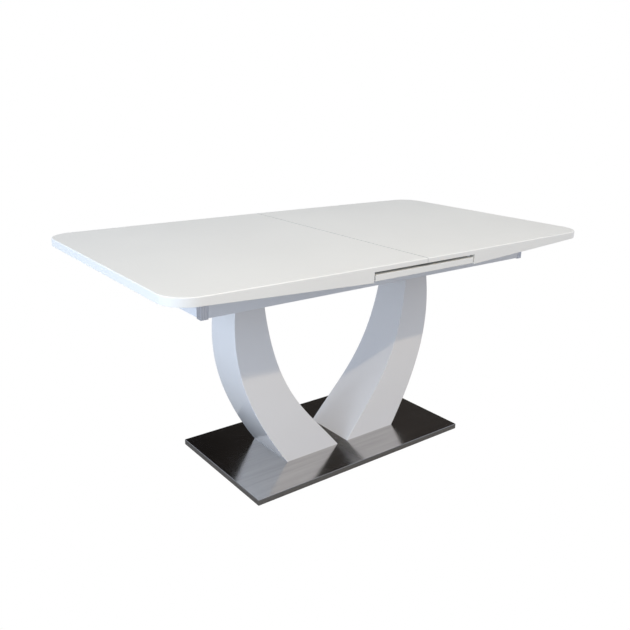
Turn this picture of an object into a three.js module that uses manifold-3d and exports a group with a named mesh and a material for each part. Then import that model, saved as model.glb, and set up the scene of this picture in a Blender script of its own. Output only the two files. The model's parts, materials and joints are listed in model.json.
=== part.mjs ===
// Extendable dining table: two sliding top halves over a stored leaf, a shallow frame,
// two curved legs and a weighted base plate. Millimetres, +Z up, X along the table.
// The origin is on the floor, below the middle of the table.
import * as THREE from "three";
import { mergeVertices } from "three/addons/utils/BufferGeometryUtils.js";
import Module from "manifold-3d";

// ---- Driving dimensions -------------------------------------------------------------

const tableHeight = 760;
const topLength = 1600; // with the top closed
const topWidth = 900; // at the middle; the ends are narrower by twice the side bow
const sideBow = 9.5;
const cornerRadius = 80;
const boardThickness = 15;
const endEdgeDepth = 24; // board and edge strip together, at the ends
const edgeWall = 18; // thickness of the edge strips under the board
const seamGap = 1;

const leafWidth = 400;
const leafThickness = 18;
const leafGap = 8; // air between the stored leaf and the boards over it
const leafSideGap = 5; // between the stored leaf and the side strips' inner ends
const stripLip = 4; // how far the side strips reach below the stored leaf
const padHeight = 7;
const padDiameter = 16;
const padInset = 50; // from the leaf's edge to a pad's centre

const pinDiameter = 8;
const pinReach = 12; // what stands out of the board or leaf
const pinDepth = 12; // what is buried
const pinSideInset = 90; // from the top's long side to the outer pins

const endOverhang = 147; // from the frame's end to the top's end
const sideOverhang = 151;
const railHeight = 60;
const railThickness = 20;
const postSize = 22;
const postDrop = 3; // how far the corner posts reach below the rails
const fluteCount = 3;
const fluteWidth = 2;
const fluteDepth = 1.2;

const runnerWidth = 20;
const runnerWall = 1.6;
const runnerSlot = 8; // opening between the lips of an outer channel
const runnerAirGap = 3; // between the lower and the upper channel
const runnerPlay = 0.8; // around the middle member's flanges
const runnerWeb = 4;
const runnerInnerInset = 10; // from the side strip's inner end to the runner
const runnerEndInset = 13; // from the frame's end to the runner

const baseLength = 890;
const baseWidth = 480;
const baseHeight = 20;
const coverSheet = 1.2;
const coverFloorGap = 1.5;
const glideDiameter = 44;
const glideHeight = 3;
const glideInset = 45;

const legFootInner = 21; // distances from the table's middle, along X
const legFootOuter = 240;
const legTopInner = 312.5;
const legTopOuter = 400;
const legFootDepth = 205; // sizes along Y
const legTopDepth = 119;
const outerFootHandle = { x: 210, z: 305 }; // curve handles, from the foot or top corner
const outerTopHandle = { x: 30, z: -181 };
const innerFootHandle = { x: 145, z: 181 };
const innerTopHandle = { x: -16.5, z: -391 };
const legCurveSteps = 20;

const headPlateThickness = 6;
const headPlateLength = 110;
const headPlateWidth = 190;
const beamHeight = 40;
const beamLength = 110;

const boltDiameter = 8;
const boltHeadDiameter = 15;
const boltHeadHeight = 5;
const boltGrip = 32; // thread inside the leg or the beam
const footBoltSpread = 55; // from the middle of the foot's depth to a bolt
const headBoltSpread = 78;

const fitGap = 0.3; // clearance around anything that sits in something else
const cutMargin = 2; // how far a drilling tool starts outside the face it enters
const roundSides = 24;
const holeSides = 16;

// ---- Places worked out from them ----------------------------------------------------

const halfLength = topLength / 2;
const halfWidth = topWidth / 2;
const boardBottom = tableHeight - boardThickness;
const leafTop = boardBottom - leafGap;
const leafBottom = leafTop - leafThickness;
const recessHalf = leafWidth / 2 + leafSideGap;
const recessEdgeDepth = tableHeight - leafBottom + stripLip;
const stripEnd = halfLength - cornerRadius;

const frameTop = leafBottom - padHeight;
const frameBottom = frameTop - railHeight;
const frameHalfLength = halfLength - endOverhang;
const frameHalfWidth = halfWidth - sideOverhang;
const railMiddle = frameHalfWidth - railThickness / 2;

const channelHeight = (boardBottom - frameTop - runnerAirGap) / 2;
const runnerStart = recessHalf + runnerInnerInset;
const runnerEnd = frameHalfLength - runnerEndInset;
const runnerLength = runnerEnd - runnerStart;

const beamBottom = frameTop - beamHeight;
const legTop = beamBottom - headPlateThickness;
const legTopMiddle = (legTopInner + legTopOuter) / 2;
const legFootMiddle = (legFootInner + legFootOuter) / 2;

const footBoltSeat = glideHeight + boltHeadHeight + 2 * fitGap; // the face it bears on
const footBoltLength = baseHeight - footBoltSeat + fitGap + boltGrip;
const headBoltLength = headPlateThickness + fitGap + boltGrip;

const pinHeight = tableHeight - boardThickness / 2;
const pinBack = -seamGap / 2 - pinDepth;
const pinTip = -seamGap / 2 + pinReach;
const pinRows = [-(halfWidth - pinSideInset), 0, halfWidth - pinSideInset];
const leafPinHeight = leafTop - boardThickness / 2;

// Half the top's width at a distance x from the middle: a shallow parabola.
const sideY = (x) => halfWidth - sideBow * (x / halfLength) ** 2;
const sideSlope = (x) => (-2 * sideBow * x) / halfLength ** 2;
// How far the side strip reaches below the top surface at a distance x from the middle.
const stripDepth = (x) =>
  recessEdgeDepth +
  ((endEdgeDepth - recessEdgeDepth) * (x - recessHalf)) / (stripEnd - recessHalf);
const legDepth = (z) =>
  legFootDepth +
  ((legTopDepth - legFootDepth) * (z - baseHeight)) / (legTop - baseHeight);

// ---- Materials ----------------------------------------------------------------------

const finish = (color, roughness, metalness) =>
  new THREE.MeshStandardMaterial({ color, roughness, metalness });

const topLacquer = finish(0xe6e6e1, 0.3, 0);
const glossLacquer = finish(0xdfe2e6, 0.08, 0);
const frameLacquer = finish(0xd9dce1, 0.25, 0);
const aluminium = finish(0xb4b7bb, 0.35, 1);
const stainless = finish(0x85837f, 0.3, 1);
const zincSteel = finish(0xa3a6a9, 0.4, 1);
const board = finish(0x8a6f52, 0.8, 0);
const beech = finish(0xc79f6d, 0.6, 0);
const rubber = finish(0x2a2a2b, 0.8, 0);
const brass = finish(0xb9923c, 0.3, 1);

// ---- Solids -------------------------------------------------------------------------

const wasm = await Module();
wasm.setup();

function toSolid(geometry) {
  const bare = geometry.clone();
  bare.deleteAttribute("normal");
  bare.deleteAttribute("uv");
  const merged = mergeVertices(bare, 1e-4);
  return new wasm.Manifold(
    new wasm.Mesh({
      numProp: 3,
      vertProperties: merged.attributes.position.array,
      triVerts: new Uint32Array(merged.index.array),
    }),
  );
}

function toGeometry(solid) {
  const { vertProperties, triVerts } = solid.getMesh();
  const geometry = new THREE.BufferGeometry();
  geometry.setAttribute("position", new THREE.BufferAttribute(vertProperties, 3));
  geometry.setIndex(new THREE.BufferAttribute(triVerts, 1));
  geometry.computeVertexNormals();
  return geometry;
}

function cut(geometry, tools) {
  let solid = toSolid(geometry);
  for (const tool of tools) {
    solid = solid.subtract(toSolid(tool));
  }
  return toGeometry(solid);
}

function join(geometries) {
  let solid = toSolid(geometries[0]);
  for (const piece of geometries.slice(1)) {
    solid = solid.add(toSolid(piece));
  }
  return toGeometry(solid);
}

// A box from its limits along X, Y and Z.
function block([x0, x1], [y0, y1], [z0, z1]) {
  const box = new THREE.BoxGeometry(x1 - x0, y1 - y0, z1 - z0);
  return box.translate((x0 + x1) / 2, (y0 + y1) / 2, (z0 + z1) / 2);
}

// An upright round bar standing on the point (x, y, z).
function upright(diameter, height, sides, x, y, z) {
  const bar = new THREE.CylinderGeometry(diameter / 2, diameter / 2, height, sides);
  return bar.rotateX(Math.PI / 2).translate(x, y, z + height / 2);
}

// A round bar along X, from x0 to x1.
function crossBar(diameter, sides, x0, x1, y, z) {
  const bar = new THREE.CylinderGeometry(diameter / 2, diameter / 2, x1 - x0, sides);
  return bar.rotateZ(Math.PI / 2).translate((x0 + x1) / 2, y, z);
}

// A flat outline in X and Y, given thickness from z0 to z1.
function slab(outline, z0, z1) {
  const options = { depth: z1 - z0, bevelEnabled: false, curveSegments: 12 };
  return new THREE.ExtrudeGeometry(outline, options).translate(0, 0, z0);
}

// Moves every vertex by a rule, which gets and changes a vector.
function reshape(geometry, rule) {
  const places = geometry.attributes.position;
  const point = new THREE.Vector3();
  for (let i = 0; i < places.count; i += 1) {
    point.fromBufferAttribute(places, i);
    rule(point);
    places.setXYZ(i, point.x, point.y, point.z);
  }
  geometry.computeVertexNormals();
  return geometry;
}

const table = new THREE.Group();

function addMesh(name, geometry, material, parent = table) {
  const mesh = new THREE.Mesh(geometry, material);
  mesh.name = name;
  parent.add(mesh);
  return mesh;
}

const ends = [
  { name: "left", side: -1 },
  { name: "right", side: 1 },
];
const faces = [
  { name: "front", side: -1 },
  { name: "rear", side: 1 },
];

// A pair of limits on one side of the middle, in rising order.
const limits = (side, near, far) => (side > 0 ? [near, far] : [-far, -near]);

// ---- Base ---------------------------------------------------------------------------

function makeBase() {
  const halfX = baseLength / 2;
  const halfY = baseWidth / 2;
  const inner = coverSheet + fitGap;
  const coreTop = baseHeight - inner;
  const bore = boltDiameter + 2 * fitGap;
  const counterbore = boltHeadDiameter + 2 * fitGap;
  const shaftHoles = [];
  const coreHoles = [];
  for (const { side } of ends) {
    for (const { side: face } of faces) {
      const x = side * legFootMiddle;
      const y = face * footBoltSpread;
      shaftHoles.push(upright(bore, baseHeight * 2, holeSides, x, y, -baseHeight / 2));
      coreHoles.push(upright(counterbore, footBoltSeat, holeSides, x, y, 0));
    }
  }
  const core = block(
    [-halfX + inner, halfX - inner],
    [-halfY + inner, halfY - inner],
    [glideHeight, coreTop],
  );
  addMesh("base_core", cut(core, [...shaftHoles, ...coreHoles]), board);

  const sheet = block([-halfX, halfX], [-halfY, halfY], [coverFloorGap, baseHeight]);
  const hollow = block(
    [-halfX + coverSheet, halfX - coverSheet],
    [-halfY + coverSheet, halfY - coverSheet],
    [-baseHeight, baseHeight - coverSheet],
  );
  addMesh("base_cover", cut(sheet, [hollow, ...shaftHoles]), stainless);

  for (const end of ends) {
    for (const face of faces) {
      const glide = upright(glideDiameter, glideHeight, roundSides, 0, 0, 0);
      const mesh = addMesh(`glide_${end.name}_${face.name}`, glide, rubber);
      mesh.position.set(end.side * (halfX - glideInset), face.side * (halfY - glideInset), 0);
    }
  }
}

// ---- Bolts --------------------------------------------------------------------------

// A hexagon-headed bolt pointing up, with its head below z = 0 and its shank above.
function boltGeometry(shank) {
  const root = boltHeadHeight / 2; // the shank starts inside the head
  const head = upright(boltHeadDiameter, boltHeadHeight, 6, 0, 0, -boltHeadHeight);
  return join([head, upright(boltDiameter, shank + root, holeSides, 0, 0, -root)]);
}

// ---- Legs ---------------------------------------------------------------------------

// The leg's side view, drawn with x outwards and y upwards.
function legOutline(side) {
  const outline = new THREE.Shape();
  outline.moveTo(side * legFootInner, baseHeight);
  outline.lineTo(side * legFootOuter, baseHeight);
  outline.bezierCurveTo(
    side * (legFootOuter + outerFootHandle.x),
    baseHeight + outerFootHandle.z,
    side * (legTopOuter + outerTopHandle.x),
    legTop + outerTopHandle.z,
    side * legTopOuter,
    legTop,
  );
  outline.lineTo(side * legTopInner, legTop);
  outline.bezierCurveTo(
    side * (legTopInner + innerTopHandle.x),
    legTop + innerTopHandle.z,
    side * (legFootInner + innerFootHandle.x),
    baseHeight + innerFootHandle.z,
    side * legFootInner,
    baseHeight,
  );
  return outline;
}

function makeLeg({ name, side }) {
  const options = { depth: 1, bevelEnabled: false, curveSegments: legCurveSteps };
  const body = new THREE.ExtrudeGeometry(legOutline(side), options);
  body.translate(0, 0, -0.5).rotateX(Math.PI / 2);
  reshape(body, (point) => {
    point.y *= legDepth(point.z);
  });
  const bore = boltDiameter + 2 * fitGap;
  const holes = faces.map((face) =>
    upright(
      bore,
      boltGrip + fitGap + cutMargin,
      holeSides,
      side * legFootMiddle,
      face.side * footBoltSpread,
      baseHeight - cutMargin,
    ),
  );
  addMesh(`${name}_leg`, cut(body, holes), glossLacquer);

  for (const face of faces) {
    const bolt = addMesh(`${name}_foot_bolt_${face.name}`, boltGeometry(footBoltLength), zincSteel);
    bolt.position.set(side * legFootMiddle, face.side * footBoltSpread, footBoltSeat - fitGap);
  }
}

function makeLegHead({ name, side }) {
  const middle = side * legTopMiddle;
  const alongX = (length) => [middle - length / 2, middle + length / 2];
  const halfPlate = headPlateWidth / 2;
  const bore = boltDiameter + 2 * fitGap;
  const holes = faces.map((face) => {
    const y = face.side * headBoltSpread;
    const depth = headPlateThickness + boltGrip + 2 * fitGap;
    return upright(bore, depth + cutMargin, holeSides, middle, y, legTop - cutMargin);
  });
  const plate = block(alongX(headPlateLength), [-halfPlate, halfPlate], [legTop, beamBottom]);
  addMesh(`${name}_head_plate`, cut(plate, holes), zincSteel);

  const beamHalf = frameHalfWidth - railThickness;
  const beam = block(alongX(beamLength), [-beamHalf, beamHalf], [beamBottom, frameTop]);
  addMesh(`${name}_beam`, cut(beam, holes), beech);

  for (const face of faces) {
    const bolt = addMesh(`${name}_head_bolt_${face.name}`, boltGeometry(headBoltLength), zincSteel);
    bolt.position.set(middle, face.side * headBoltSpread, legTop - fitGap);
  }
}

// ---- Frame --------------------------------------------------------------------------

// A corner post's section with its outer corner at +X, +Y and grooves down both show faces.
function postOutline(end, face) {
  const half = postSize / 2;
  const pitch = postSize / fluteCount;
  const outline = new THREE.Shape();
  const place = (x, y) => [end * x, face * y];
  outline.moveTo(...place(-half, -half));
  outline.lineTo(...place(half, -half));
  for (let i = 0; i < fluteCount; i += 1) {
    const middle = -half + pitch * (i + 0.5);
    outline.lineTo(...place(half, middle - fluteWidth / 2));
    outline.lineTo(...place(half - fluteDepth, middle - fluteWidth / 2));
    outline.lineTo(...place(half - fluteDepth, middle + fluteWidth / 2));
    outline.lineTo(...place(half, middle + fluteWidth / 2));
  }
  outline.lineTo(...place(half, half));
  for (let i = fluteCount - 1; i >= 0; i -= 1) {
    const middle = -half + pitch * (i + 0.5);
    outline.lineTo(...place(middle + fluteWidth / 2, half));
    outline.lineTo(...place(middle + fluteWidth / 2, half - fluteDepth));
    outline.lineTo(...place(middle - fluteWidth / 2, half - fluteDepth));
    outline.lineTo(...place(middle - fluteWidth / 2, half));
  }
  outline.lineTo(...place(-half, half));
  outline.closePath();
  return outline;
}

function makeFrame() {
  const railEnd = frameHalfLength - postSize - fitGap;
  const apronEnd = frameHalfWidth - postSize - fitGap;
  const upDown = [frameBottom, frameTop];
  for (const { name, side } of faces) {
    const across = limits(side, frameHalfWidth - railThickness, frameHalfWidth);
    addMesh(`${name}_rail`, block([-railEnd, railEnd], across, upDown), frameLacquer);
  }
  for (const end of ends) {
    const along = limits(end.side, frameHalfLength - railThickness, frameHalfLength);
    addMesh(`${end.name}_apron`, block(along, [-apronEnd, apronEnd], upDown), frameLacquer);
    for (const face of faces) {
      const section = postOutline(end.side, face.side);
      const post = slab(section, frameBottom - postDrop, frameTop);
      const mesh = addMesh(`post_${end.name}_${face.name}`, post, aluminium);
      mesh.position.x = end.side * (frameHalfLength - postSize / 2);
      mesh.position.y = face.side * (frameHalfWidth - postSize / 2);
    }
  }
}

// ---- Top halves ---------------------------------------------------------------------

// Draws the bowed long side from one x to another; face is -1 at the front, 1 at the rear.
function bowTo(outline, side, face, fromX, toX, inset) {
  const middle = (fromX + toX) / 2;
  const handleY = sideY(fromX) + sideSlope(fromX) * (middle - fromX);
  outline.quadraticCurveTo(
    side * middle,
    face * (handleY - inset),
    side * toX,
    face * (sideY(toX) - inset),
  );
}

// Half of the top in plan, from the seam to the rounded end.
function boardOutline(side) {
  const seam = seamGap / 2;
  const cornerY = sideY(stripEnd) - cornerRadius;
  const outline = new THREE.Shape();
  outline.moveTo(side * seam, -sideY(seam));
  bowTo(outline, side, -1, seam, stripEnd, 0);
  roundCorner(outline, side, stripEnd, cornerY, cornerRadius, -1);
  outline.lineTo(side * halfLength, cornerY);
  roundCorner(outline, side, stripEnd, cornerY, cornerRadius, 1);
  bowTo(outline, side, 1, stripEnd, seam, 0);
  outline.closePath();
  return outline;
}

// A quarter turn round (x, face * y), from the long side to the end or back again.
function roundCorner(outline, side, x, y, radius, face) {
  const fromLongSide = face < 0 ? -Math.PI / 2 : 0;
  const start = side > 0 ? fromLongSide : Math.PI - fromLongSide;
  const stop = start + (side * Math.PI) / 2;
  outline.absarc(side * x, face * y, radius, start, stop, side < 0);
}

// The wedge-shaped strip glued under a long side, with its deep end at the recess.
function sideStrip(side, face) {
  const outline = new THREE.Shape();
  outline.moveTo(side * recessHalf, face * sideY(recessHalf));
  bowTo(outline, side, face, recessHalf, stripEnd, 0);
  outline.lineTo(side * stripEnd, face * (sideY(stripEnd) - edgeWall));
  bowTo(outline, side, face, stripEnd, recessHalf, edgeWall);
  outline.closePath();
  return reshape(slab(outline, 0, 1), (point) => {
    const low = tableHeight - stripDepth(Math.abs(point.x));
    point.z = point.z < 0.5 ? low : boardBottom;
  });
}

// The strip glued under the end, round both corners.
function endStrip(side) {
  const cornerY = sideY(stripEnd) - cornerRadius;
  const outerY = sideY(stripEnd);
  const innerRadius = cornerRadius - edgeWall;
  const outline = new THREE.Shape();
  outline.moveTo(side * stripEnd, -outerY);
  roundCorner(outline, side, stripEnd, cornerY, cornerRadius, -1);
  outline.lineTo(side * halfLength, cornerY);
  roundCorner(outline, side, stripEnd, cornerY, cornerRadius, 1);
  outline.lineTo(side * stripEnd, outerY - edgeWall);
  const quarter = (side * Math.PI) / 2;
  const rearStart = Math.PI / 2;
  const frontStart = side > 0 ? 0 : Math.PI;
  const x = side * stripEnd;
  outline.absarc(x, cornerY, innerRadius, rearStart, rearStart - quarter, side > 0);
  outline.lineTo(side * (stripEnd + innerRadius), -cornerY);
  outline.absarc(x, -cornerY, innerRadius, frontStart, frontStart - quarter, side > 0);
  outline.closePath();
  return slab(outline, tableHeight - endEdgeDepth, boardBottom);
}

function makeTopHalf({ name, side }) {
  const bore = pinDiameter + 2 * fitGap;
  const holes = pinRows.map((y) =>
    crossBar(bore, holeSides, pinBack - fitGap, pinTip + fitGap, y, pinHeight),
  );
  const plate = slab(boardOutline(side), boardBottom, tableHeight);
  addMesh(`${name}_board`, cut(plate, holes), topLacquer);
  for (const face of faces) {
    addMesh(`${name}_strip_${face.name}`, sideStrip(side, face.side), topLacquer);
  }
  addMesh(`${name}_strip_end`, endStrip(side), topLacquer);
}

function makeSeamPins() {
  pinRows.forEach((y, i) => {
    const pin = crossBar(pinDiameter, holeSides, pinBack, pinTip, y, pinHeight);
    addMesh(`seam_pin_${i + 1}`, pin, brass);
  });
}

// ---- Leaf ---------------------------------------------------------------------------

function makeLeaf() {
  const edge = leafWidth / 2;
  const bore = pinDiameter + 2 * fitGap;
  const holes = [];
  pinRows.forEach((y, i) => {
    const drill = (x0, x1) => crossBar(bore, holeSides, x0, x1, y, leafPinHeight);
    holes.push(drill(-edge - cutMargin, -edge + pinReach + fitGap));
    holes.push(drill(edge - pinDepth - fitGap, edge + cutMargin));
    const pin = crossBar(pinDiameter, holeSides, edge - pinDepth, edge + pinReach, y, leafPinHeight);
    addMesh(`leaf_pin_${i + 1}`, pin, brass);
  });
  const plate = block([-edge, edge], [-halfWidth, halfWidth], [leafBottom, leafTop]);
  addMesh("leaf", cut(plate, holes), topLacquer);

  for (const end of ends) {
    for (const face of faces) {
      const pad = upright(padDiameter, padHeight, roundSides, 0, 0, 0);
      const mesh = addMesh(`leaf_pad_${end.name}_${face.name}`, pad, rubber);
      mesh.position.set(end.side * (edge - padInset), face.side * railMiddle, frameTop);
    }
  }
}

// ---- Runners ------------------------------------------------------------------------

// A lipped channel in section, open upwards, with the middle of its back at the origin.
function channelSection() {
  const half = runnerWidth / 2;
  const section = new THREE.Shape();
  section.moveTo(-half, 0);
  section.lineTo(half, 0);
  section.lineTo(half, channelHeight);
  section.lineTo(runnerSlot / 2, channelHeight);
  section.lineTo(runnerSlot / 2, channelHeight - runnerWall);
  section.lineTo(half - runnerWall, channelHeight - runnerWall);
  section.lineTo(half - runnerWall, runnerWall);
  section.lineTo(-half + runnerWall, runnerWall);
  section.lineTo(-half + runnerWall, channelHeight - runnerWall);
  section.lineTo(-runnerSlot / 2, channelHeight - runnerWall);
  section.lineTo(-runnerSlot / 2, channelHeight);
  section.lineTo(-half, channelHeight);
  section.closePath();
  return section;
}

// The middle member in section: a web between two flanges that run in the channels.
function middleSection() {
  const half = runnerWidth / 2 - runnerWall - runnerPlay;
  const low = runnerWall + runnerPlay;
  const lowTop = channelHeight - runnerWall - runnerPlay;
  const whole = 2 * channelHeight + runnerAirGap;
  const web = runnerWeb / 2;
  const section = new THREE.Shape();
  section.moveTo(-half, low);
  section.lineTo(half, low);
  section.lineTo(half, lowTop);
  section.lineTo(web, lowTop);
  section.lineTo(web, whole - lowTop);
  section.lineTo(half, whole - lowTop);
  section.lineTo(half, whole - low);
  section.lineTo(-half, whole - low);
  section.lineTo(-half, whole - lowTop);
  section.lineTo(-web, whole - lowTop);
  section.lineTo(-web, lowTop);
  section.lineTo(-half, lowTop);
  section.closePath();
  return section;
}

// A section drawn in Y and Z, given the runner's length along X.
function runnerBar(section, side) {
  const options = { depth: runnerLength, bevelEnabled: false };
  const bar = new THREE.ExtrudeGeometry(section, options);
  bar.rotateX(Math.PI / 2).rotateZ(Math.PI / 2);
  return bar.translate(side > 0 ? runnerStart : -runnerEnd, 0, 0);
}

function makeRunners({ name, side }) {
  for (const face of faces) {
    const place = new THREE.Group();
    place.position.set(0, face.side * railMiddle, frameTop);
    table.add(place);
    const ending = `${name}_${face.name}`;
    addMesh(`runner_base_${ending}`, runnerBar(channelSection(), side), zincSteel, place);
    addMesh(`runner_middle_${ending}`, runnerBar(middleSection(), side), aluminium, place);
    const upper = runnerBar(channelSection(), side);
    reshape(upper.scale(1, -1, -1), (point) => {
      point.z += boardBottom - frameTop;
    });
    addMesh(`runner_top_${ending}`, upper, zincSteel, place);
  }
}

// ---- Assembly -----------------------------------------------------------------------

makeBase();
makeFrame();
makeLeaf();
makeSeamPins();
for (const end of ends) {
  makeLeg(end);
  makeLegHead(end);
  makeTopHalf(end);
  makeRunners(end);
}

export default table;
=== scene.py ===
"""Looks of an extendable dining table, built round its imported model. Metres, +Z up."""

import json
import math

import bmesh
import bpy
from mathutils import Matrix, Vector


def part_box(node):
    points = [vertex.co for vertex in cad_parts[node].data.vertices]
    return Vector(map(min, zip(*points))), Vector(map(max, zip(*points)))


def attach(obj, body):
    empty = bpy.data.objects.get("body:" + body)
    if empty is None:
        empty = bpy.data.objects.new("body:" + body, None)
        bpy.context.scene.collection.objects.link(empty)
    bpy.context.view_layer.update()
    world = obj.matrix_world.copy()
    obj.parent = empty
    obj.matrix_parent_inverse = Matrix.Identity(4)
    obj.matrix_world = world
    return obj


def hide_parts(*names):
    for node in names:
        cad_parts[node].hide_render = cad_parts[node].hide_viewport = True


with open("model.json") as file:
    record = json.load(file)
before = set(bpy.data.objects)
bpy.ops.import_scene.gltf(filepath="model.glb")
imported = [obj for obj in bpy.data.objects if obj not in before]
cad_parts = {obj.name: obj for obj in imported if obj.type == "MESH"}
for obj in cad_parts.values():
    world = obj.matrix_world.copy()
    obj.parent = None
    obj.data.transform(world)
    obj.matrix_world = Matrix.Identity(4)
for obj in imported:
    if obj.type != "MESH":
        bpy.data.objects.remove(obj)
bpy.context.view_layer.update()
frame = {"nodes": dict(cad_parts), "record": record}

# ---- Sizes that the frame doesn't give ----------------------------------------------

SIDE_BOW = 0.0095  # how much narrower the top is at its ends, on each side
TOP_ARRIS = 0.003  # rounding of the top's upper edge
SEAM_ARRIS = 0.0012
LOW_ARRIS = 0.001  # rounding of the lower edges of the top and its skirts
RECESS_CHAMFER = 0.0008  # on the skirts' ends beside the leaf
LEAF_ARRIS = 0.0012
LEG_ARRIS = 0.0025
OUTER_FOOT_HANDLE = Vector((0.210, 0.305))  # curve handles, from the foot or top corner
OUTER_TOP_HANDLE = Vector((0.030, -0.181))
INNER_FOOT_HANDLE = Vector((0.145, 0.181))
INNER_TOP_HANDLE = Vector((-0.0165, -0.391))
SHEET = 0.0012  # the base cover's steel
SHEET_FOLD = 0.0016  # outside radius of its folds
RAIL_ARRIS = 0.0012
FIT_GAP = 0.0003
HOLE_SIDES = 32
DRILL_RUN = 0.002  # how far outside the leaf a hole's cutter starts
PIN_TIP = 0.45  # rounding of a pin's ends, as a share of its radius
FLUTES = 3  # grooves down each outer face of a corner post
FLUTE_WIDTH = 0.002
FLUTE_DEPTH = 0.0012
RIB_EDGE = 0.0006  # radii in a post's section
POST_EDGE = 0.0004
POST_CORNER = 0.0015
POST_ARRIS = 0.0003  # rounding of a post's two ends
RUNNER_WALL = 0.0016
RUNNER_SLOT = 0.008  # opening between a channel's lips
RUNNER_WEB = 0.004  # the middle member's upright
CHANNEL_BEND = 0.0022  # outside radius
LIP_EDGE = 0.0003
FLANGE_EDGE = 0.0005
WEB_FILLET = 0.001
BOLT_RADIUS = 0.004
BOLT_HEAD = 0.005
THREAD_PITCH = 0.00125
THREAD_DEPTH = 0.0007
THREAD_LENGTH = 0.022
BOLT_SIDES = 48
BOLT_CHAMFER = 0.0008
BOLT_TIP = 0.001
PAD_RIM = 0.0012
GLIDE_FLAT = 0.55  # how much of a glide's radius its flat middle takes
SOFT_EDGE = 0.0008  # on the hidden board, plates and beams

SIDES = {"left": -1, "right": 1}
FACES = {"front": -1, "rear": 1}
ARC_STEPS = 6


# ---- Camera -------------------------------------------------------------------------

CAMERA_AZIMUTH = math.radians(-37.930)  # 0 looks along +Y
CAMERA_ELEVATION = math.radians(17.726)
CAMERA_ROLL = math.radians(1.220)
CAMERA_TARGET = Vector((0.0958, 0.1947, 0.400))
CAMERA_DISTANCE = 2.622
CAMERA_LENS = 39.38


def make_camera():
    flat = math.cos(CAMERA_ELEVATION)
    back = Vector(
        (
            math.sin(CAMERA_AZIMUTH) * flat,
            -math.cos(CAMERA_AZIMUTH) * flat,
            math.sin(CAMERA_ELEVATION),
        )
    )
    right = Vector((0, 0, 1)).cross(back).normalized()
    up = back.cross(right)
    cos, sin = math.cos(CAMERA_ROLL), math.sin(CAMERA_ROLL)
    axes = Matrix((cos * right + sin * up, cos * up - sin * right, back)).transposed()
    data = bpy.data.cameras.new("camera")
    data.sensor_width = 36
    data.lens = CAMERA_LENS
    camera = bpy.data.objects.new("camera", data)
    place = Matrix.Translation(CAMERA_TARGET + back * CAMERA_DISTANCE)
    camera.matrix_world = place @ axes.to_4x4()
    bpy.context.scene.collection.objects.link(camera)
    bpy.context.scene.camera = camera


make_camera()


# ---- Material making ----------------------------------------------------------------


class Look:
    """A material in the making: its main shader, and the nodes that vary its inputs."""

    def __init__(self, name, **fixed):
        self.material = bpy.data.materials.new(name)
        self.material.use_nodes = True
        self.tree = self.material.node_tree
        self.shader = self.tree.nodes["Principled BSDF"]
        for key, value in fixed.items():
            self.shader.inputs[key.replace("_", " ")].default_value = value
        self.place = self.tree.nodes.new("ShaderNodeTexCoord").outputs["Object"]

    def node(self, kind, **links):
        """Adds a node; each keyword is an input's name, and a value or a socket for it."""
        made = self.tree.nodes.new(kind)
        for key, value in links.items():
            socket = made.inputs[key.replace("_", " ")]
            if isinstance(value, bpy.types.NodeSocket):
                self.tree.links.new(value, socket)
            else:
                socket.default_value = value
        return made

    def normal(self):
        """The way the surface faces, before any bump."""
        return self.node("ShaderNodeTexCoord").outputs["Normal"]

    def stretched(self, scale):
        """The object's coordinates, scaled along each axis."""
        return self.node("ShaderNodeMapping", Vector=self.place, Scale=scale).outputs["Vector"]

    def noise(self, scale, detail=2.0, stretch=(1, 1, 1), roughness=0.5, distortion=0.0):
        made = self.node(
            "ShaderNodeTexNoise",
            Vector=self.stretched(stretch),
            Scale=scale,
            Detail=detail,
            Roughness=roughness,
            Distortion=distortion,
        )
        return made.outputs["Fac"]

    def between(self, value, low, high, start=0.3, stop=0.7):
        """value, taken from start..stop to low..high, and held there outside."""
        made = self.node("ShaderNodeMapRange", Value=value)
        for key, number in (("From Min", start), ("From Max", stop)):
            made.inputs[key].default_value = number
        for key, number in (("To Min", low), ("To Max", high)):
            made.inputs[key].default_value = number
        return made.outputs["Result"]

    def blended(self, factor, first, second):
        """A colour between two, each of them three numbers or a socket."""
        made = self.tree.nodes.new("ShaderNodeMix")
        made.data_type = "RGBA"
        self.tree.links.new(factor, made.inputs["Factor"])
        for socket, colour in ((made.inputs["A"], first), (made.inputs["B"], second)):
            sockets = [s for s in made.inputs if s.name == socket.name and s.type == "RGBA"]
            if isinstance(colour, bpy.types.NodeSocket):
                self.tree.links.new(colour, sockets[0])
            else:
                sockets[0].default_value = (*colour, 1)
        return [s for s in made.outputs if s.type == "RGBA"][0]

    def gloss(self, value, low, high):
        """Varies the roughness. A range that crosses 0.27 shows as spots on a lacquer."""
        self.feed(Roughness=self.between(value, low, high, 0.0, 1.0))

    def feed(self, **sockets):
        """Links sockets to the shader's inputs."""
        for key, socket in sockets.items():
            self.tree.links.new(socket, self.shader.inputs[key.replace("_", " ")])

    def bump(self, *layers):
        """Adds relief from (height, depth in metres, strength) layers."""
        normal = None
        for height, depth, strength in layers:
            made = self.node("ShaderNodeBump", Height=height, Distance=depth, Strength=strength)
            if normal:
                self.tree.links.new(normal, made.inputs["Normal"])
            normal = made.outputs["Normal"]
        self.feed(Normal=normal)


TOP_WHITES = ((0.80, 0.80, 0.765), (0.775, 0.772, 0.74))
# greys for the faces along the seam: painted shade in the joint between the two halves
SEAM_SHADE_GREYS = ((0.42, 0.42, 0.41), (0.36, 0.36, 0.35))
LEG_WHITES = ((0.775, 0.770, 0.765), (0.755, 0.750, 0.745))
FRAME_WHITES = ((0.73, 0.735, 0.75), (0.69, 0.695, 0.71))
ORANGE_PEEL = 0.0004  # depth


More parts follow.
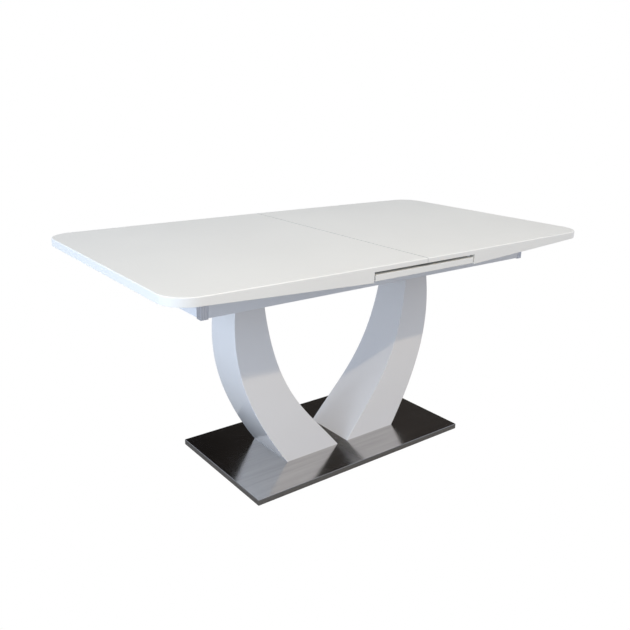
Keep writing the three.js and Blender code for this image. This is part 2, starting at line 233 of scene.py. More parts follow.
def lacquer(name, light, dark, low, high, peel, **fixed):
    """Lacquer with faint clouds in its colour and gloss, and a fine orange-peel surface."""
    look = Look(name, **fixed)
    clouds = look.noise(2.2, detail=3.0)
    patches = look.noise(9.0, detail=4.0, roughness=0.6)
    look.feed(Base_Color=look.blended(look.between(clouds, 0, 1), light, dark))
    look.gloss(patches, low, high)
    look.bump((look.noise(peel, detail=1.0), ORANGE_PEEL, 0.04))
    return look.material


def top_lacquer():
    return lacquer("top_lacquer", *TOP_WHITES, 0.28, 0.40, 130)


def seam_shade_lacquer():
    """The top's lacquer where the two halves meet, greyed as painted shade in the joint."""
    return lacquer("seam_shade_lacquer", *SEAM_SHADE_GREYS, 0.50, 0.70, 130)


def leg_lacquer():
    """The top's lacquer under a clear, polished coat."""
    coat = {"Coat_Weight": 1.0, "Coat_Roughness": 0.03, "Coat_IOR": 1.6}
    return lacquer("leg_lacquer", *LEG_WHITES, 0.10, 0.26, 110, **coat)


def frame_lacquer():
    return lacquer("frame_lacquer", *FRAME_WHITES, 0.29, 0.42, 220)


def metal(name, colour, tint, low, high, grain, fine, **fixed):
    """Bare metal with fine lines along the axis where grain is small."""
    look = Look(name, Metallic=1.0, **fixed)
    lines = look.noise(1.0, detail=6.0, stretch=grain, roughness=0.7)
    broad = look.noise(6.0, detail=3.0)
    look.feed(Base_Color=look.blended(look.between(broad, 0, 1), colour, tint))
    look.gloss(lines, low, high)
    look.bump((lines, fine, 0.25))
    return look.material


def brushed_stainless():
    """Steel brushed along X, with light scratches, broad bands, smears, and painted shade on its
    side walls.
    """
    look = Look("brushed_stainless", Metallic=1.0)
    scratches = look.noise(1.0, detail=6.0, stretch=(12, 1500, 1500), roughness=0.7)
    bands = look.noise(1.0, detail=4.0, stretch=(3, 80, 80), roughness=0.6)
    smears = look.noise(7.0, detail=4.0, roughness=0.6)
    ground = look.blended(look.between(bands, 0, 1), (0.60, 0.575, 0.55), (0.47, 0.45, 0.43))
    shade = look.between(scratches, 0, 0.45)
    face = look.blended(shade, ground, (0.66, 0.64, 0.62))
    # faces turned sideways get a dark colour: painted shade, standing in for the shaded floor that
    # the side walls mirror
    level = look.node("ShaderNodeSeparateXYZ", Vector=look.normal()).outputs["Z"]
    upward = look.between(level, 0, 1, 0.3, 0.8)
    look.feed(Base_Color=look.blended(upward, (0.26, 0.25, 0.235), face))
    look.gloss(smears, 0.10, 0.25)
    look.bump((scratches, 0.00004, 0.25), (bands, 0.0001, 0.05))
    return look.material


def post_aluminium():
    colours = ((0.74, 0.75, 0.78), (0.68, 0.69, 0.72))
    return metal("post_aluminium", *colours, 0.34, 0.56, (900, 900, 20), 0.00005)


def runner_aluminium():
    colours = ((0.60, 0.61, 0.63), (0.54, 0.55, 0.57))
    return metal("runner_aluminium", *colours, 0.32, 0.48, (15, 900, 900), 0.00005)


def zinc_steel():
    """Zinc plate: small spangles, and a faint yellow cast in patches."""
    look = Look("zinc_steel", Metallic=1.0)
    spangle = look.node("ShaderNodeTexVoronoi", Vector=look.place, Scale=160.0)
    shade = look.between(spangle.outputs["Color"], 0.0, 1.0, 0.0, 1.0)
    cloud = look.noise(35, detail=4.0)
    tint = look.blended(shade, (0.56, 0.57, 0.58), (0.50, 0.515, 0.54))
    look.feed(Base_Color=look.blended(look.between(cloud, 0, 0.35), tint, (0.60, 0.58, 0.50)))
    look.gloss(cloud, 0.28, 0.46)
    look.bump((look.noise(700, detail=3.0), 0.00006, 0.2))
    return look.material


def core_board():
    """Raw fibreboard, with pale fibres."""
    look = Look("core_board")
    fibre = look.noise(420, detail=5.0, stretch=(1, 1, 2.5), roughness=0.75)
    broad = look.noise(14, detail=3.0)
    ground = look.blended(look.between(broad, 0, 1), (0.33, 0.22, 0.13), (0.27, 0.175, 0.10))
    look.feed(Base_Color=look.blended(look.between(fibre, 0, 0.6), ground, (0.45, 0.33, 0.21)))
    look.gloss(fibre, 0.75, 0.95)
    look.bump((fibre, 0.0003, 0.35))
    return look.material


def beech():
    """Planed beech: grain along Y, and short dark flecks."""
    look = Look("beech")
    rings = look.noise(1.0, detail=4.0, stretch=(26, 2.2, 34), distortion=0.6)
    flecks = look.noise(1.0, detail=2.0, stretch=(420, 60, 700))
    ground = look.blended(look.between(rings, 0, 1), (0.60, 0.41, 0.24), (0.47, 0.30, 0.16))
    shade = look.between(flecks, 0, 0.7, 0.58, 0.72)
    look.feed(Base_Color=look.blended(shade, ground, (0.33, 0.19, 0.10)))
    look.gloss(rings, 0.48, 0.62)
    look.bump((flecks, 0.0002, 0.25), (rings, 0.0004, 0.15))
    return look.material


def rubber():
    """Matt black rubber with a little dust."""
    look = Look("rubber")
    dust = look.noise(60, detail=5.0, roughness=0.65)
    shade = look.between(dust, 0, 1)
    look.feed(Base_Color=look.blended(shade, (0.022, 0.022, 0.023), (0.045, 0.043, 0.041)))
    look.gloss(dust, 0.62, 0.85)
    look.bump((look.noise(1400, detail=2.0), 0.0001, 0.3))
    return look.material


def brass():
    colours = ((0.66, 0.46, 0.18), (0.56, 0.38, 0.14))
    return metal("brass", *colours, 0.10, 0.26, (2600, 25, 25), 0.00003)


MATERIALS = {
    make.__name__: make()
    for make in (
        top_lacquer,
        seam_shade_lacquer,
        leg_lacquer,
        frame_lacquer,
        brushed_stainless,
        post_aluminium,
        runner_aluminium,
        zinc_steel,
        core_board,
        beech,
        rubber,
        brass,
    )
}


def paint(piece, slot):
    piece.data.materials.clear()
    piece.data.materials.append(MATERIALS[slot])


# ---- Mesh making --------------------------------------------------------------------


def loft(rings):
    """A closed surface through rings of points, with flat ends."""
    mesh = bmesh.new()
    rows = [[mesh.verts.new(point) for point in ring] for ring in rings]
    count = len(rows[0])
    for low, high in zip(rows, rows[1:]):
        for i in range(count):
            j = (i + 1) % count
            mesh.faces.new((low[i], low[j], high[j], high[i]))
    mesh.faces.new(rows[0][::-1])
    mesh.faces.new(rows[-1])
    bmesh.ops.remove_doubles(mesh, verts=mesh.verts, dist=1e-6)
    bmesh.ops.dissolve_degenerate(mesh, dist=1e-6, edges=mesh.edges)
    bmesh.ops.recalc_face_normals(mesh, faces=mesh.faces)
    return mesh


def add_piece(name, mesh, slot, body, *nodes):
    """Makes an object of a bmesh, which rides on a body and stands for CAD nodes."""
    data = bpy.data.meshes.new(name)
    mesh.to_mesh(data)
    mesh.free()
    data.shade_smooth()
    data.set_sharp_from_angle(angle=math.radians(35))
    piece = bpy.data.objects.new(name, data)
    bpy.context.scene.collection.objects.link(piece)
    piece.modifiers.new("even_shading", "WEIGHTED_NORMAL").keep_sharp = True
    paint(piece, slot)
    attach(piece, body)
    if nodes:
        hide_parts(*nodes)
    return piece


def arc(steps=ARC_STEPS):
    """Angles over a quarter turn, both ends included."""
    return [math.pi / 2 * i / steps for i in range(steps + 1)]


def spread(start, stop, steps):
    """Numbers from start to stop, both included."""
    return [start + (stop - start) * i / steps for i in range(steps + 1)]


def rounded_box(low, high, radius, steps=3):
    """A box with all its edges rounded."""
    mesh = bmesh.new()
    bmesh.ops.create_cube(mesh, size=1.0)
    for vert in mesh.verts:
        vert.co = Vector(high[k] if vert.co[k] > 0 else low[k] for k in range(3))
    bmesh.ops.bevel(
        mesh,
        geom=mesh.edges[:],
        offset=radius,
        segments=steps,
        profile=0.5,
        affect="EDGES",
    )
    return mesh


def rounded(corners, steps=4):
    """An outline through (x, y, radius) corners, with each corner rounded by its radius."""
    points = []
    for i, (x, y, radius) in enumerate(corners):
        here = Vector((x, y))
        back = (Vector(corners[i - 1][:2]) - here).normalized()
        onward = (Vector(corners[(i + 1) % len(corners)][:2]) - here).normalized()
        half = back.angle(onward) / 2
        centre = here + (back + onward).normalized() * (radius / math.sin(half))
        start = here + back * (radius / math.tan(half))
        stop = here + onward * (radius / math.tan(half))
        for share in spread(0, 1, steps):
            spoke = (start - centre).lerp(stop - centre, share).normalized()
            points.append(centre + spoke * radius)
    return points


def soften(piece, width):
    """Rounds a piece's sharp edges by a small width."""
    weld = piece.modifiers.new("weld", "WELD")
    weld.merge_threshold = 1e-6
    bevel = piece.modifiers.new("soft_edges", "BEVEL")
    bevel.width = width
    bevel.segments = 2
    bevel.limit_method = "ANGLE"
    bevel.angle_limit = math.radians(50)
    for late in [m for m in piece.modifiers if m.type == "WEIGHTED_NORMAL"]:
        piece.modifiers.move(piece.modifiers.find(late.name), len(piece.modifiers) - 1)


def round_end(radius, rim):
    """The (radius, height) points of a round solid's lower end, up to where its side starts."""
    return [(radius - rim * (1 - math.sin(a)), rim * (1 - math.cos(a))) for a in arc(4)]


def turned(profile, place, steps=48):
    """A round solid about the upright through place; profile is (radius, height) points."""
    turn = [2 * math.pi * i / steps for i in range(steps)]
    spokes = [Vector((math.cos(a), math.sin(a), 0)) for a in turn]
    rings = []
    for radius, height in profile:
        middle = place + Vector((0, 0, height))
        rings.append([middle + spoke * radius for spoke in spokes])
    return loft(rings)


def rod(name, radius, start, reach):
    """A round rod along X, which cuts a hole."""
    turn = [2 * math.pi * k / HOLE_SIDES for k in range(HOLE_SIDES)]
    ring = [Vector((0, radius * math.cos(a), radius * math.sin(a))) for a in turn]
    ends = (start, start + Vector((reach, 0, 0)))
    solid = loft([[end + point for point in ring] for end in ends])
    mesh = bpy.data.meshes.new(name)
    solid.to_mesh(mesh)
    solid.free()
    cutter = bpy.data.objects.new(name, mesh)
    bpy.context.scene.collection.objects.link(cutter)
    return cutter


def drilled(piece, radius, starts, reach):
    """Cuts round holes along X from each start, and keeps the result as the piece's mesh."""
    cutters = [rod(f"cutter_{i}", radius, start, reach) for i, start in enumerate(starts)]
    for i, cutter in enumerate(cutters):
        cut = piece.modifiers.new(f"hole_{i}", "BOOLEAN")
        cut.object = cutter
        cut.solver = "EXACT"
        piece.modifiers.move(len(piece.modifiers) - 1, 0)
    graph = bpy.context.evaluated_depsgraph_get()
    piece.modifiers["even_shading"].show_viewport = False
    graph.update()
    cut_mesh = bpy.data.meshes.new_from_object(piece.evaluated_get(graph))
    for i in range(len(cutters)):
        piece.modifiers.remove(piece.modifiers[f"hole_{i}"])
    piece.modifiers["even_shading"].show_viewport = True
    piece.data = cut_mesh
    cut_mesh.set_sharp_from_angle(angle=math.radians(35))
    for cutter in cutters:
        bpy.data.meshes.remove(cutter.data)


# ---- Top halves ---------------------------------------------------------------------

strip_low, strip_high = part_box("right_strip_front")
end_low, end_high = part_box("right_strip_end")
board_low, board_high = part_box("right_board")

TOP = board_high.z
BOARD_BOTTOM = board_low.z
SEAM = board_low.x
HALF_LENGTH = board_high.x
HALF_WIDTH = board_high.y
RECESS = strip_low.x
STRIP_END = strip_high.x
CORNER = HALF_LENGTH - STRIP_END
SKIRT_WALL = end_high.y + strip_high.y


def side_y(x):
    """Half the top's width at a distance x from its middle."""
    return HALF_WIDTH - SIDE_BOW * (x / HALF_LENGTH) ** 2


def skirt_bottom(x):
    """The lower edge of the skirt, which rises from the recess to the rounded end."""
    share = min(max((x - RECESS) / (STRIP_END - RECESS), 0), 1)
    return strip_low.z + (end_low.z - strip_low.z) * share


class EdgePoint:
    """A place on the top's outline: where it is, which way is out, and its edges."""

    def __init__(self, x, y, out, arris=TOP_ARRIS, bottom=BOARD_BOTTOM, skirt=False, shrink=0.0):
        self.place = Vector((x, y))
        self.out = Vector(out)
        self.arris = arris
        self.bottom = bottom + shrink
        self.skirt = skirt
        self.shrink = shrink

    def at(self, inset, z):
        spot = self.place - self.out * inset
        return Vector((spot.x, spot.y, z))


def long_side(side, face):
    """Points along a long side, from the seam to the rounded corner."""

    def point(x, **edges):
        slope = 2 * SIDE_BOW * x / HALF_LENGTH**2
        out = Vector((side * slope, face)).normalized()
        return EdgePoint(side * x, face * side_y(x), out, **edges)

    corner = EdgePoint(side * SEAM, face * side_y(SEAM), (-side * SEAM_ARRIS / TOP_ARRIS, face))
    points = [corner]
    points += [point(x) for x in spread(SEAM, RECESS, 10)[1:]]
    step = {"bottom": skirt_bottom(RECESS), "skirt": True, "shrink": RECESS_CHAMFER}
    points.append(point(RECESS, **step))
    for x in spread(RECESS + RECESS_CHAMFER, STRIP_END, 24):
        points.append(point(x, bottom=skirt_bottom(x), skirt=True))
    return points


def round_corner(side, face):
    """Points round a corner, from the long side to the end."""
    middle = Vector((side * STRIP_END, face * (side_y(STRIP_END) - CORNER)))
    points = []
    for angle in arc(16)[1:]:
        out = Vector((side * math.sin(angle), face * math.cos(angle)))
        spot = middle + out * CORNER
        points.append(EdgePoint(spot.x, spot.y, out, bottom=end_low.z, skirt=True))
    return points


def seam_side(side):
    """The two ends of the seam, from the rear to the front."""
    reach = side_y(SEAM) - 2 * TOP_ARRIS
    return [EdgePoint(side * SEAM, y, (-side, 0), arris=SEAM_ARRIS) for y in (reach, -reach)]


def top_half(side):
    """One half of the top: a board with rounded edges, in one with its wedge-shaped skirts."""
    outline = long_side(side, -1) + round_corner(side, -1)
    outline += round_corner(side, 1)[::-1] + long_side(side, 1)[::-1]
    outline += seam_side(side)
    rings = []
    for angle in arc()[::-1]:
        inset, drop = 1 - math.cos(angle), 1 - math.sin(angle)
        rings.append([p.at(p.arris * inset, TOP - p.arris * drop) for p in outline])
    rings.append([p.at(0, BOARD_BOTTOM + LOW_ARRIS) for p in outline])
    for angle in arc(3):
        drop = LOW_ARRIS * (1 - math.sin(angle))
        inset = LOW_ARRIS * (1 - math.cos(angle))
        rings.append([p.at(p.shrink + inset, p.bottom + drop) for p in outline])
    for angle in arc(3)[::-1]:
        drop = LOW_ARRIS * (1 - math.sin(angle))
        inset = SKIRT_WALL - LOW_ARRIS * (1 - math.cos(angle))
        rings.append([p.at(inset - p.shrink, p.bottom + drop * p.skirt) for p in outline])
    rings.append([p.at(SKIRT_WALL - p.shrink, BOARD_BOTTOM) for p in outline])
    return loft(rings)


def start_of(pin, x):
    """A point on the axis of a pin that lies along X, given the pin's box."""
    low, high = pin
    return Vector((x, (low.y + high.y) / 2, (low.z + high.z) / 2))


def paint_seam_shade(piece):
    """Gives the faces along the seam the greyed lacquer, painted shade in the joint."""
    piece.data.materials.append(MATERIALS["seam_shade_lacquer"])
    for face in piece.data.polygons:
        if abs(face.center.x) < SEAM + SEAM_ARRIS:
            face.material_index = 1


def make_top_halves():
    pins = [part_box(f"seam_pin_{i}") for i in (1, 2, 3)]
    radius = (pins[0][1].z - pins[0][0].z) / 2 + FIT_GAP
    for name, side in SIDES.items():
        nodes = [f"{name}_board"] + [f"{name}_strip_{part}" for part in ("front", "rear", "end")]
        piece = add_piece(f"{name}_top_half", top_half(side), "top_lacquer", f"{name}_top", *nodes)
        starts = [start_of(pin, pin[0].x - FIT_GAP) for pin in pins]
        drilled(piece, radius, starts, pins[0][1].x - pins[0][0].x + 2 * FIT_GAP)
        paint_seam_shade(piece)


# ---- Leaf ---------------------------------------------------------------------------


def make_leaf():
    low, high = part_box("leaf")
    mesh = rounded_box(low, high, LEAF_ARRIS)
    piece = add_piece("stored_leaf", mesh, "top_lacquer", "leaf", "leaf")
    pins = [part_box(f"leaf_pin_{i}") for i in (1, 2, 3)]
    reach = pins[0][1].x - high.x + FIT_GAP
    radius = (pins[0][1].z - pins[0][0].z) / 2 + FIT_GAP
    starts = [start_of(pin, low.x - DRILL_RUN) for pin in pins]
    drilled(piece, radius, starts, reach + DRILL_RUN)


def make_pins():
    """Turned pins with rounded tips, in the seam and in the leaf's edge."""
    for kind, body in (("seam_pin", "left_top"), ("leaf_pin", "leaf")):
        for i in (1, 2, 3):
            node = f"{kind}_{i}"
            low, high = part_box(node)
            radius = (high.z - low.z) / 2
            profile = round_end(radius, radius * PIN_TIP)
            profile += [(r, high.x - low.x - z) for r, z in profile[::-1]]
            mesh = turned(profile, Vector((0, 0, 0)), steps=32)
            place = Matrix.Translation(start_of((low, high), low.x))
            turn = Matrix.Rotation(math.pi / 2, 4, "Y")
            bmesh.ops.transform(mesh, matrix=place @ turn, verts=mesh.verts)
            add_piece(f"turned_{node}", mesh, "brass", body, node)


# ---- Legs ---------------------------------------------------------------------------


def limits_at(node, height):
    """The lowest and highest corners of a CAD node's points at one height."""
    points = [v.co for v in frame["nodes"][node].data.vertices if abs(v.co.z - height) < 1e-5]
    low = Vector(min(p[k] for p in points) for k in range(3))
    high = Vector(max(p[k] for p in points) for k in range(3))
    return low, high


def bezier(points, t):
    a, b, c, d = points
    s = 1 - t
    return a * s**3 + b * 3 * s**2 * t + c * 3 * s * t**2 + d * t**3


def leg(side):
    """A curved leg, drawn outwards along X and upwards, and narrower in depth towards its top."""
    low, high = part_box("right_leg")
    foot_low, foot_high = limits_at("right_leg", low.z)
    top_low, top_high = limits_at("right_leg", high.z)
    foot_out, foot_in = Vector((foot_high.x, low.z)), Vector((foot_low.x, low.z))
    top_out, top_in = Vector((top_high.x, high.z)), Vector((top_low.x, high.z))
    outer = (foot_out, foot_out + OUTER_FOOT_HANDLE, top_out + OUTER_TOP_HANDLE, top_out)
    inner = (foot_in, foot_in + INNER_FOOT_HANDLE, top_in + INNER_TOP_HANDLE, top_in)

    def half_depth(z):
        share = (z - low.z) / (high.z - low.z)
        return foot_high.y + (top_high.y - foot_high.y) * share

    def corner(edge, across, face, angle):
        inset = LEG_ARRIS * (1 - math.cos(angle))
        spot = edge - across * inset
        y = face * (half_depth(spot.y) - LEG_ARRIS * (1 - math.sin(angle)))
        return Vector((side * spot.x, y, spot.y))

    rings = []
    for t in spread(0, 1, 64):
        out, near = bezier(outer, t), bezier(inner, t)
        across = (out - near).normalized()
        turn = arc(3)
        ring = [corner(out, across, -1, a) for a in turn[::-1]]
        ring += [corner(out, across, 1, a) for a in turn]
        ring += [corner(near, -across, 1, a) for a in turn[::-1]]
        ring += [corner(near, -across, -1, a) for a in turn]
        rings.append(ring)
    return loft(rings)


def make_legs():
    for name, side in SIDES.items():
        add_piece(f"{name}_curved_leg", leg(side), "leg_lacquer", "frame", f"{name}_leg")


# ---- Base ---------------------------------------------------------------------------


def rectangle(half_x, half_y, radius, z):
    """A rectangle with rounded corners, as a ring of points."""
    ring = []
    for sx, sy in ((1, 1), (-1, 1), (-1, -1), (1, -1)):
        turn = arc(4) if sx * sy > 0 else arc(4)[::-1]
        for angle in turn:
            x = sx * (half_x - radius * (1 - math.cos(angle)))
            y = sy * (half_y - radius * (1 - math.sin(angle)))
            ring.append(Vector((x, y, z)))
    return ring


def make_cover():
    """The base plate's steel cover: a flat sheet with its sides folded down."""
    low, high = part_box("base_cover")
    rings = []
    for angle in arc()[::-1]:
        inset = SHEET_FOLD * (1 - math.cos(angle))
        z = high.z - SHEET_FOLD * (1 - math.sin(angle))
        rings.append(rectangle(high.x - inset, high.y - inset, SHEET_FOLD, z))
    rings.append(rectangle(high.x, high.y, SHEET_FOLD, low.z))
    rings.append(rectangle(high.x - SHEET, high.y - SHEET, SHEET_FOLD - SHEET, low.z))
    rings.append(rectangle(high.x - SHEET, high.y - SHEET, SHEET_FOLD - SHEET, high.z - SHEET))
    add_piece("folded_cover", loft(rings), "brushed_stainless", "frame", "base_cover")


def make_glides():
    """The rubber glides under the base plate, domed underneath."""
    for end in SIDES:
        for face in FACES:
            node = f"glide_{end}_{face}"
            low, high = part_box(node)
            radius, height = (high.x - low.x) / 2, high.z - low.z
            dome = height / 2
            profile = [(radius * GLIDE_FLAT, 0.0), (radius - dome * 2, 0.0)]
            profile += round_end(radius, dome)[1:]
            profile.append((radius, height))
            middle = (low + high) / 2
            mesh = turned(profile, Vector((middle.x, middle.y, low.z)))
            add_piece(f"round_{node}", mesh, "rubber", "frame", node)


# ---- Frame --------------------------------------------------------------------------


def make_rails():
    for node in ("front_rail", "rear_rail", "left_apron", "right_apron"):
        mesh = rounded_box(*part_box(node), RAIL_ARRIS)
        add_piece(f"lacquered_{node}", mesh, "frame_lacquer", "frame", node)


def post_corners(half, end, face):
    """A post's section: two plain inner faces, and rounded ribs on the two outer ones."""
    pitch = 2 * half / FLUTES
    side = [(half, -half, POST_EDGE)]
    for i in range(FLUTES):
        middle = -half + pitch * (i + 0.5)
        near, far = middle - FLUTE_WIDTH / 2, middle + FLUTE_WIDTH / 2
        floor = half - FLUTE_DEPTH
        side += [(half, near, RIB_EDGE), (floor, near, POST_EDGE)]
        side += [(floor, far, POST_EDGE), (half, far, RIB_EDGE)]
    mirrored = [(y, x, radius) for x, y, radius in side[::-1]]
    corners = [(-half, -half, POST_EDGE)] + side + [(half, half, POST_CORNER)] + mirrored
    return [(end * x, face * y, radius) for x, y, radius in corners]


def make_posts():
    for name, end in SIDES.items():
        for face_name, face in FACES.items():
            node = f"post_{name}_{face_name}"
            low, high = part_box(node)
            middle = (low + high) / 2
            outline = rounded(post_corners((high.x - low.x) / 2, end, face))
            rings = []
            for z in (low.z, high.z):
                rings.append([Vector((middle.x + p.x, middle.y + p.y, z)) for p in outline])
            piece = add_piece(f"ribbed_{node}", loft(rings), "post_aluminium", "frame", node)
            soften(piece, POST_ARRIS)


# ---- Runners ------------------------------------------------------------------------


def channel_corners(half, height):
    """A lipped channel in section, rolled from sheet, open upwards."""
    slot = RUNNER_SLOT / 2
    inner = half - RUNNER_WALL
    bend = CHANNEL_BEND - RUNNER_WALL
    right = [
        (half, 0, CHANNEL_BEND),
        (half, height, CHANNEL_BEND),
        (slot, height, LIP_EDGE),
        (slot, height - RUNNER_WALL, LIP_EDGE),
        (inner, height - RUNNER_WALL, bend),
        (inner, RUNNER_WALL, bend),
    ]
    return right + [(-x, y, radius) for x, y, radius in right[::-1]]


def member_corners(half, low_flange, high_flange):
    """The middle member in section: an upright between two flanges, each (bottom, top)."""
    web = RUNNER_WEB / 2
    right = [
        (half, low_flange[0], FLANGE_EDGE),
        (half, low_flange[1], FLANGE_EDGE),
        (web, low_flange[1], WEB_FILLET),
        (web, high_flange[0], WEB_FILLET),
        (half, high_flange[0], FLANGE_EDGE),
        (half, high_flange[1], FLANGE_EDGE),
    ]
    return right + [(-x, y, radius) for x, y, radius in right[::-1]]


def bar_along_x(corners, start, stop, y, z, upward=1):
    """A section drawn in Y and Z, carried along X."""
    outline = rounded(corners)
    ends = []
    for x in (start, stop):
        ends.append([Vector((x, y + p.x, z + upward * p.y)) for p in outline])
    return loft(ends)


def flange_height():
    """How thick the middle member's flanges are, read from its CAD solid."""
    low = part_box("runner_middle_right_front")[0]
    levels = {round(v.co.z, 6) for v in frame["nodes"]["runner_middle_right_front"].data.vertices}
    return min(level for level in levels if level > low.z + 1e-4) - low.z


def make_middle_member(name, face, flange):
    ending = f"{name}_{face}"
    low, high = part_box(f"runner_middle_{ending}")
    half = (high.y - low.y) / 2
    tall = high.z - low.z
    corners = member_corners(half, (0, flange), (tall - flange, tall))
    mesh = bar_along_x(corners, low.x, high.x, low.y + half, low.z)
    body = f"{name}_runner_middle"
    node = f"runner_middle_{ending}"
    add_piece(f"drawn_middle_{ending}", mesh, "runner_aluminium", body, node)


def make_channel(part, ending, body, upward):
    node = f"runner_{part}_{ending}"
    low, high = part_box(node)
    half = (high.y - low.y) / 2
    back = low.z if upward > 0 else high.z
    corners = channel_corners(half, high.z - low.z)
    mesh = bar_along_x(corners, low.x, high.x, low.y + half, back, upward)
    add_piece(f"rolled_{part}_{ending}", mesh, "zinc_steel", body, node)


def make_runners():
    """Each runner: a channel on the rail, a middle member, and a channel under the top."""
    flange = flange_height()
    for name in SIDES:
        for face in FACES:
            make_middle_member(name, face, flange)
            make_channel("base", f"{name}_{face}", "frame", 1)
            make_channel("top", f"{name}_{face}", f"{name}_top", -1)


# ---- Bolts and pads -----------------------------------------------------------------


def polar(radius, turn, z):
    """A point round a bolt's axis, from +Y, where the head has a corner."""
    return Vector((-radius * math.sin(turn), radius * math.cos(turn), z))


def circle(radius, z):
    return [polar(radius, turn, z) for turn in spread(0, 2 * math.pi, BOLT_SIDES)[:-1]]


def hexagon(radius, round_share, z):
    """Points round a hexagon, drawn in towards the circle inside it by round_share."""
    flat = radius * math.cos(math.pi / 6)
    ring = []
    for turn in spread(0, 2 * math.pi, BOLT_SIDES)[:-1]:
        reach = flat / math.cos(turn % (math.pi / 3) - math.pi / 6)
        ring.append(polar(reach + (flat - reach) * round_share, turn, z))
    return ring


def threaded(radius, start, stop):
    """Rings of a screw thread, which runs out smoothly at both ends."""
    rings = []
    for z in spread(start, stop, round((stop - start) / THREAD_PITCH * 6)):
        fade = min(1.0, (z - start) / THREAD_PITCH, (stop - z) / THREAD_PITCH)
        ring = []
        for turn in spread(0, 2 * math.pi, BOLT_SIDES)[:-1]:
            phase = (z / THREAD_PITCH - turn / (2 * math.pi)) % 1
            cut = THREAD_DEPTH * fade * (1 - abs(2 * phase - 1))
            ring.append(polar(radius - cut, turn, z))
        rings.append(ring)
    return rings


def bolt(low, high):
    """A hexagon-headed bolt pointing up: chamfered head, plain neck, thread, chamfered tip."""
    head = (high.y - low.y) / 2
    height = high.z - low.z
    neck = height - THREAD_LENGTH
    rings = [hexagon(head, 1.0, 0.0), hexagon(head, 0.0, BOLT_CHAMFER)]
    rings.append(hexagon(head, 0.0, BOLT_HEAD - BOLT_CHAMFER / 2))
    rings.append(hexagon(head, 1.0, BOLT_HEAD))
    rings += [circle(BOLT_RADIUS, z) for z in (BOLT_HEAD, neck)]
    rings += threaded(BOLT_RADIUS, neck, height - BOLT_TIP)
    rings.append(circle(BOLT_RADIUS - BOLT_TIP, height))
    mesh = loft(rings)
    place = Vector(((low.x + high.x) / 2, (low.y + high.y) / 2, low.z))
    bmesh.ops.translate(mesh, vec=place, verts=mesh.verts)
    return mesh


def make_bolts():
    for name in SIDES:
        for kind in ("foot", "head"):
            for face in FACES:
                node = f"{name}_{kind}_bolt_{face}"
                add_piece(f"hex_{node}", bolt(*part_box(node)), "zinc_steel", "frame", node)


def make_pads():
    """The rubber pads under the stored leaf, rounded at both rims."""
    for name in SIDES:
        for face in FACES:
            node = f"leaf_pad_{name}_{face}"
            low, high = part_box(node)
            radius, height = (high.x - low.x) / 2, high.z - low.z
            profile = round_end(radius, PAD_RIM)
            profile += [(r, height - z) for r, z in profile[::-1]]
            middle = (low + high) / 2
            mesh = turned(profile, Vector((middle.x, middle.y, low.z)))
            add_piece(f"round_{node}", mesh, "rubber", "frame", node)


# ---- Assembly -----------------------------------------------------------------------

make_top_halves()
make_leaf()
make_pins()
make_legs()
make_cover()
make_glides()
make_rails()
make_posts()
make_runners()
make_bolts()
make_pads()

for part in frame["record"]["subparts"]:
    paint(frame["nodes"][part["node"]], part["material_slot"])
for node in ("base_core", "left_head_plate", "right_head_plate", "left_beam", "right_beam"):
    soften(frame["nodes"][node], SOFT_EDGE)


# ---- Stage --------------------------------------------------------------------------

FLOOR_SIDE = 9.0
FLOOR_GREYS = ((0.32, 0.32, 0.32), (0.31, 0.31, 0.31))
FLOOR_GLOW = (0.09, 0.09, 0.092)
SURROUNDINGS = (0.63, 0.69, 0.82)
DARK_CORNER = Vector((0.532, 0.694, 0.485))  # its direction from the table
DARK_INNER = math.radians(26)
DARK_OUTER = math.radians(40)
DARKNESS = (0.040, 0.036, 0.034)
DARK_FADE = (0.40, 0.64, 0.30, 1.15)  # a direction's X from and to, and the strength there

SOFT_ONLY = ("window", "low_window", "right")  # seen in no reflection

# Each light's name, place, aim, width and height, power and colour.
LIGHTS = (
    ("overhead", (0.0, 0.2, 2.9), (0, 0.1, 0.7), (3.4, 2.2), 25, (1.0, 0.97, 0.89)),
    ("front_high", (-0.9, -2.45, 2.76), (-0.9, -0.4, 0.72), (2.6, 0.06), 37, (1.0, 0.84, 0.60)),
    ("window", (-3.4, -0.3, 1.15), (0, 0, 0.4), (2.6, 2.1), 46, (0.70, 0.82, 1.0)),
    ("low_window", (-2.2, -0.1, 0.25), (-0.2, 0, 0.1), (1.6, 0.45), 7, (0.66, 0.81, 1.0)),
    ("right", (3.4, -0.6, 1.4), (0, 0, 0.4), (2.4, 2.0), 36, (1.0, 0.85, 0.62)),
)


def area_light(name, place, target, size, power, colour):
    data = bpy.data.lights.new(name, "AREA")
    data.shape = "RECTANGLE"
    data.size, data.size_y = size
    data.energy = power
    data.color = colour
    light = bpy.data.objects.new(name, data)
    light.location = place
    light.rotation_euler = (Vector(target) - Vector(place)).to_track_quat("-Z", "Y").to_euler()
    light.visible_camera = False
    light.visible_glossy = name not in SOFT_ONLY
    bpy.context.scene.collection.objects.link(light)


def camera_sees_white(tree, shader, output):
    """Shows a surface as plain white to the camera, and lets it light the table as it is."""
    plain = tree.nodes.new("ShaderNodeEmission")
    plain.inputs["Color"].default_value = (1, 1, 1, 1)
    rays = tree.nodes.new("ShaderNodeLightPath")
    mix = tree.nodes.new("ShaderNodeMixShader")
    tree.links.new(rays.outputs["Is Camera Ray"], mix.inputs["Fac"])
    tree.links.new(shader, mix.inputs[1])
    tree.links.new(plain.outputs[0], mix.inputs[2])
    tree.links.new(mix.outputs[0], output)


def map_range(tree, value, *limits):
    """Takes a value from one range to another, and holds it there outside."""
    made = tree.nodes.new("ShaderNodeMapRange")
    for key, number in zip(("From Min", "From Max", "To Min", "To Max"), limits):
        made.inputs[key].default_value = number
    tree.links.new(value, made.inputs["Value"])
    return made.outputs["Result"]


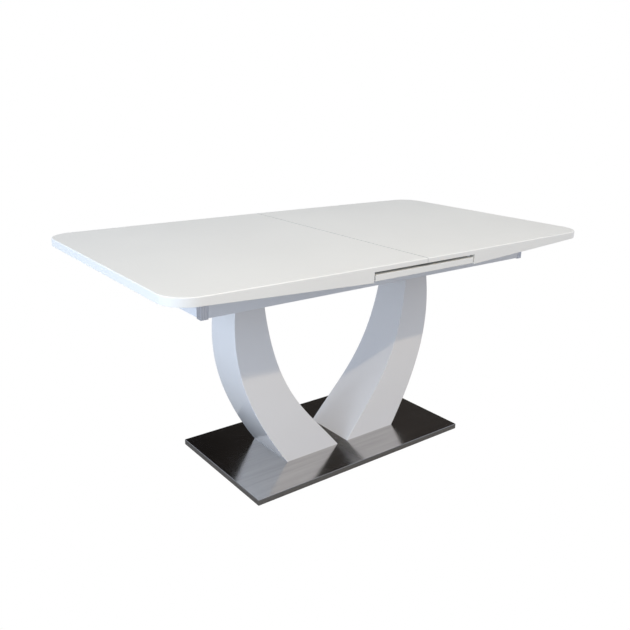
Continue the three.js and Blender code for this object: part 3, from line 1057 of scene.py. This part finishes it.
def dark_corner(tree, direction):
    """The unlit corner of the room, a little lighter towards its right."""
    corner = tree.nodes.new("ShaderNodeBackground")
    corner.inputs["Color"].default_value = (*DARKNESS, 1)
    across = tree.nodes.new("ShaderNodeSeparateXYZ")
    tree.links.new(direction, across.inputs[0])
    strength = map_range(tree, across.outputs["X"], *DARK_FADE)
    tree.links.new(strength, corner.inputs["Strength"])
    return corner.outputs[0]


def nearness_to_corner(tree, direction):
    """How far a direction is inside the dark corner, from 0 to 1."""
    product = tree.nodes.new("ShaderNodeVectorMath")
    product.operation = "DOT_PRODUCT"
    product.inputs[1].default_value = DARK_CORNER.normalized()
    tree.links.new(direction, product.inputs[0])
    return map_range(tree, product.outputs["Value"], math.cos(DARK_OUTER), math.cos(DARK_INNER))


def make_world():
    """Pale surroundings with one unlit corner of the room, which the base plate mirrors."""
    world = bpy.data.worlds.new("studio")
    bpy.context.scene.world = world
    world.use_nodes = True
    tree = world.node_tree
    direction = tree.nodes.new("ShaderNodeTexCoord").outputs["Generated"]
    room = tree.nodes["Background"]
    room.inputs["Color"].default_value = (*SURROUNDINGS, 1)
    both = tree.nodes.new("ShaderNodeMixShader")
    tree.links.new(nearness_to_corner(tree, direction), both.inputs["Fac"])
    tree.links.new(room.outputs[0], both.inputs[1])
    tree.links.new(dark_corner(tree, direction), both.inputs[2])
    camera_sees_white(tree, both.outputs[0], tree.nodes["World Output"].inputs["Surface"])


def floor_paper():
    """Paper that glows a little, and that is seen from above only."""
    look = Look("floor_paper", Roughness=0.8)
    look.shader.inputs["Emission Strength"].default_value = 1.0
    look.shader.inputs["Emission Color"].default_value = (*FLOOR_GLOW, 1)
    cloud = look.between(look.noise(1.5, detail=3.0), 0, 1)
    look.feed(Base_Color=look.blended(cloud, *FLOOR_GREYS))
    below = look.node("ShaderNodeNewGeometry").outputs["Backfacing"]
    clear = look.tree.nodes.new("ShaderNodeBsdfTransparent")
    one_sided = look.tree.nodes.new("ShaderNodeMixShader")
    camera_sees_white(look.tree, look.shader.outputs[0], one_sided.inputs[1])
    look.tree.links.new(below, one_sided.inputs["Fac"])
    look.tree.links.new(clear.outputs[0], one_sided.inputs[2])
    output = look.tree.nodes["Material Output"].inputs["Surface"]
    look.tree.links.new(one_sided.outputs[0], output)
    return look.material


def make_floor():
    mesh = bmesh.new()
    bmesh.ops.create_grid(mesh, x_segments=8, y_segments=8, size=FLOOR_SIDE / 2)
    data = bpy.data.meshes.new("floor")
    mesh.to_mesh(data)
    mesh.free()
    data.materials.append(floor_paper())
    floor = bpy.data.objects.new("floor", data)
    bpy.context.scene.collection.objects.link(floor)


for light in LIGHTS:
    area_light(*light)
make_world()
make_floor()
bpy.context.scene.view_settings.view_transform = "Standard"
